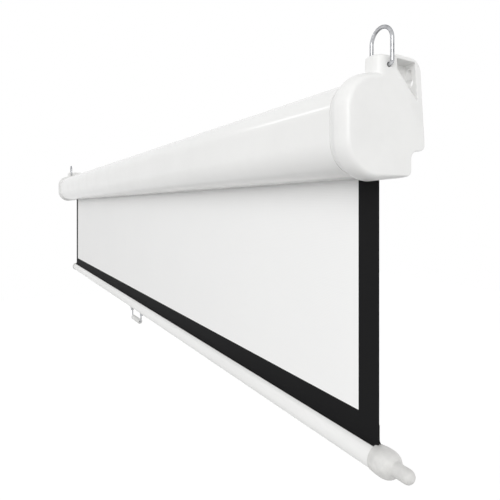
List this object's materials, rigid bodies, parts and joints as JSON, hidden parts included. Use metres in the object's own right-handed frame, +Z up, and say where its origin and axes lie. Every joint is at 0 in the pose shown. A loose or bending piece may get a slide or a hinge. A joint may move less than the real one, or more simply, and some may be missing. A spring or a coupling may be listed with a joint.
{
  "type": "pull-down projector screen",
  "caption": "Wall or ceiling hung spring-roller projection screen: long case with end caps, hinged hanger loops, black-bordered fabric, weight bar and pull handle.",
  "frame": {"origin": "on the case's flat back, at mid-length and level with the roller's axis", "axes": "+X along the case, +Y into the wall (viewers look along +Y from -Y), +Z up"},
  "size_m": [1.855, 0.093, 0.4496],
  "materials": {
    "case_enamel": "smooth white enamel",
    "cap_plastic": "moulded white plastic, slight gloss",
    "bar_enamel": "satin white enamel",
    "bar_cap_plastic": "moulded white plastic, satin",
    "matte_white": "matte white projection coating",
    "black_backing": "matte black coated cloth",
    "chrome_wire": "bright plated wire",
    "zinc_steel": "zinc plated steel",
    "spring_steel": "oiled dark steel",
    "nylon": "natural nylon",
    "grip_plastic": "light grey moulded sleeve"
  },
  "bodies": {
    "housing": {"case_shell": "case_enamel", "end_cap_left": "cap_plastic", "end_cap_right": "cap_plastic", "cap_screw_left_upper": "zinc_steel", "cap_screw_left_lower": "zinc_steel", "cap_screw_right_upper": "zinc_steel", "cap_screw_right_lower": "zinc_steel", "shaft_socket": "zinc_steel", "bearing_bush": "nylon", "spring_shaft": "zinc_steel", "ratchet_hub": "zinc_steel", "hub_pin": "spring_steel", "spring_collar": "nylon", "collar_pin": "spring_steel", "torsion_spring": "spring_steel"},
    "roller": {"roller_tube": "zinc_steel", "fabric_roll": "black_backing", "roller_plug_left": "nylon", "roller_plug_right": "nylon", "idler_pin": "zinc_steel", "idler_clip": "spring_steel", "pawl_pin_1": "zinc_steel", "pawl_pin_2": "zinc_steel", "pawl_clip_1": "spring_steel", "pawl_clip_2": "spring_steel"},
    "pawl_upper": {"pawl_1": "zinc_steel"},
    "pawl_lower": {"pawl_2": "zinc_steel"},
    "hanger_left": {"hanger_left": "chrome_wire"},
    "hanger_right": {"hanger_right": "chrome_wire"},
    "drop": {"fabric_backing": "black_backing", "viewing_surface": "matte_white", "weight_bar": "bar_enamel", "hem_rod": "black_backing", "bar_cap_left": "bar_cap_plastic", "bar_cap_right": "bar_cap_plastic", "handle_eye_left": "zinc_steel", "handle_eye_right": "zinc_steel", "handle_rivet_left": "zinc_steel", "handle_rivet_right": "zinc_steel"},
    "pull_handle": {"handle_wire": "chrome_wire", "handle_grip": "grip_plastic"}
  },
  "joints": [
    {"name": "screen_drop", "type": "slide", "parent": "housing", "child": "drop", "axis": [0, 0, -1], "range_m": [-0.2507, 1.04458], "deforming": ["fabric_backing", "viewing_surface"]},
    {"name": "roller_spin", "type": "hinge", "parent": "housing", "child": "roller", "pos_m": [0, -0.0526, 0], "axis": [1, 0, 0], "range_deg": [-2260, 550]},
    {"name": "pawl_upper_swing", "type": "hinge", "parent": "roller", "child": "pawl_upper", "pos_m": [-0.8894, -0.0526, 0.0165], "axis": [1, 0, 0], "range_deg": [0, 35]},
    {"name": "pawl_lower_swing", "type": "hinge", "parent": "roller", "child": "pawl_lower", "pos_m": [-0.8894, -0.0526, -0.0165], "axis": [1, 0, 0], "range_deg": [0, 35]},
    {"name": "hanger_left_swing", "type": "hinge", "parent": "housing", "child": "hanger_left", "pos_m": [-0.90675, -0.044, 0.0545], "axis": [1, 0, 0], "range_deg": [-60, 85]},
    {"name": "hanger_right_swing", "type": "hinge", "parent": "housing", "child": "hanger_right", "pos_m": [0.90675, -0.044, 0.0545], "axis": [1, 0, 0], "range_deg": [-60, 85]},
    {"name": "handle_swing", "type": "hinge", "parent": "drop", "child": "pull_handle", "pos_m": [0.016, -0.026, -0.332], "axis": [1, 0, 0], "range_deg": [-100, 100]}
  ],
  "couplings": [
    {"joint": "roller_spin", "follows": "screen_drop", "rad_per_m": -37.594}
  ]
}
